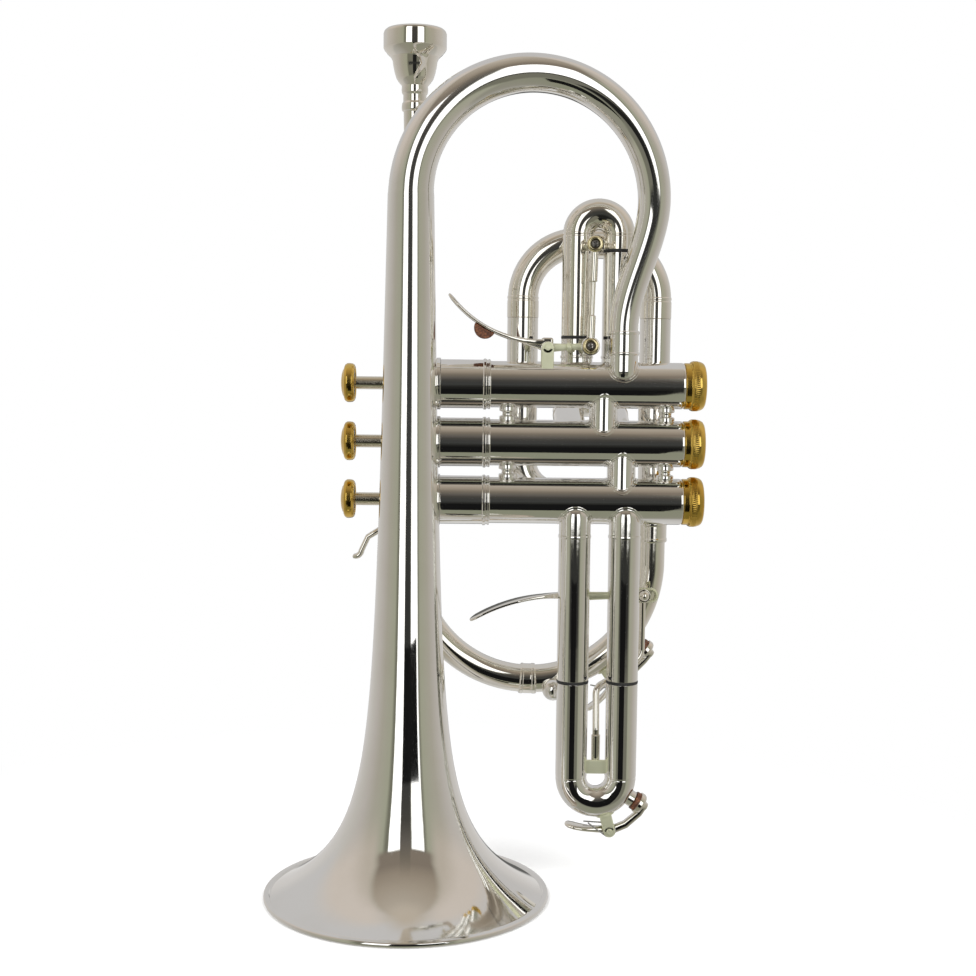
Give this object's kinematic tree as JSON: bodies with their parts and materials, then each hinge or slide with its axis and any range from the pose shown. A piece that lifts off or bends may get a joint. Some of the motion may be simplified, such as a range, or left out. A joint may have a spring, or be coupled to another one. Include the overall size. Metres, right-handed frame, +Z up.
{
  "type": "cornet",
  "caption": "Silver-plated shepherd's-crook piston cornet standing on its bell, with gold-plated buttons and valve caps, slide triggers and water keys.",
  "frame": {"origin": "centre of the bell rim, on the ground the instrument stands on", "axes": "+Z up along the bell towards the crook and mouthpiece; +X down the valves from the finger buttons to the bottom caps; +Y from the bell towards the leadpipe"},
  "size_m": [0.1864, 0.1391, 0.3706],
  "materials": {
    "silver_plate": "bright silver plate over brass",
    "gold_plate": "bright gold plate over brass",
    "nickel": "lapped nickel",
    "spring_steel": "drawn steel wire",
    "cork": "varnished cork",
    "felt": "pressed felt",
    "rubber": "matt black ring",
    "nylon": "natural nylon"
  },
  "bodies": {
    "root": {"bell_flare": "silver_plate", "bell_rim_wire": "spring_steel", "bell_stem": "silver_plate", "bell_crook": "silver_plate", "tail_ferrule": "silver_plate", "casing_1": "silver_plate", "casing_2": "silver_plate", "casing_3": "silver_plate", "casing_knuckles": "silver_plate", "casing_braces": "silver_plate", "top_cap_1": "silver_plate", "top_cap_2": "silver_plate", "top_cap_3": "silver_plate", "bottom_cap_1": "gold_plate", "bottom_cap_2": "gold_plate", "bottom_cap_3": "gold_plate", "valve_guides": "nylon", "mouthpiece_receiver": "silver_plate", "leadpipe": "silver_plate", "leadpipe_bow": "silver_plate", "bow_fittings": "silver_plate", "pinky_hook": "silver_plate", "body_braces": "silver_plate", "main_outer_left": "silver_plate", "main_outer_right": "silver_plate", "first_outer_tubes": "silver_plate", "first_trigger_bracket": "silver_plate", "second_outer_tubes": "silver_plate", "third_outer_tubes": "silver_plate", "third_lever_bracket": "silver_plate", "stop_rings": "rubber"},
    "valve_1": {"piston_1": "nickel", "stem_1": "silver_plate", "button_1": "gold_plate", "felts_1": "felt", "spring_1": "spring_steel"},
    "valve_2": {"piston_2": "nickel", "stem_2": "silver_plate", "button_2": "gold_plate", "felts_2": "felt", "spring_2": "spring_steel"},
    "valve_3": {"piston_3": "nickel", "stem_3": "silver_plate", "button_3": "gold_plate", "felts_3": "felt", "spring_3": "spring_steel"},
    "mouthpiece": {"mouthpiece": "silver_plate"},
    "main_slide": {"main_slide": "silver_plate"},
    "first_slide": {"first_slide": "silver_plate", "first_slide_link": "silver_plate"},
    "first_trigger": {"first_trigger_lever": "silver_plate", "first_trigger_cork": "cork"},
    "second_slide": {"second_slide": "silver_plate"},
    "third_slide": {"third_slide": "silver_plate", "third_slide_link": "silver_plate"},
    "third_trigger": {"third_trigger_lever": "silver_plate"},
    "third_water_key": {"third_water_key": "silver_plate", "third_key_cork": "cork"},
    "bow_water_key": {"bow_water_key": "silver_plate", "bow_key_cork": "cork"}
  },
  "joints": [
    {"name": "valve_1_press", "type": "slide", "parent": "root", "child": "valve_1", "axis": [1, 0, 0], "range_m": [0, 0.016], "deforming": ["spring_1"]},
    {"name": "valve_2_press", "type": "slide", "parent": "root", "child": "valve_2", "axis": [1, 0, 0], "range_m": [0, 0.016], "deforming": ["spring_2"]},
    {"name": "valve_3_press", "type": "slide", "parent": "root", "child": "valve_3", "axis": [1, 0, 0], "range_m": [0, 0.016], "deforming": ["spring_3"]},
    {"name": "mouthpiece_pull", "type": "slide", "parent": "root", "child": "mouthpiece", "axis": [0, 0, 1], "range_m": [0, 0.015]},
    {"name": "main_slide_pull", "type": "slide", "parent": "root", "child": "main_slide", "axis": [0, 0, 1], "range_m": [0, 0.025]},
    {"name": "first_slide_out", "type": "slide", "parent": "root", "child": "first_slide", "axis": [0, 0, 1], "range_m": [0, 0.00575]},
    {"name": "first_trigger_turn", "type": "hinge", "parent": "root", "child": "first_trigger", "pos_m": [0.058, 0.023, 0.2325], "axis": [0, -1, 0], "range_deg": [0, 18]},
    {"name": "second_slide_pull", "type": "slide", "parent": "root", "child": "second_slide", "axis": [0, 0.9272, 0.3746], "range_m": [0, 0.012]},
    {"name": "third_slide_out", "type": "slide", "parent": "root", "child": "third_slide", "axis": [0, 0, -1], "range_m": [0, 0.012]},
    {"name": "third_trigger_turn", "type": "hinge", "parent": "root", "child": "third_trigger", "pos_m": [0.0709, 0.0335, 0.1235], "axis": [0, 1, 0], "range_deg": [0, 21.6]},
    {"name": "third_water_key_turn", "type": "hinge", "parent": "third_slide", "child": "third_water_key", "pos_m": [0.08791, 0.0218, 0.02197], "axis": [0, 1, 0], "range_deg": [0, 15]},
    {"name": "bow_water_key_turn", "type": "hinge", "parent": "root", "child": "bow_water_key", "pos_m": [0.0924, 0.051, 0.0811], "axis": [0, 1, 0], "range_deg": [0, 15]}
  ],
  "couplings": [
    {"joint": "first_trigger_turn", "follows": "first_slide_out", "rad_per_m": 54.6},
    {"joint": "third_trigger_turn", "follows": "third_slide_out", "rad_per_m": 31.25}
  ]
}
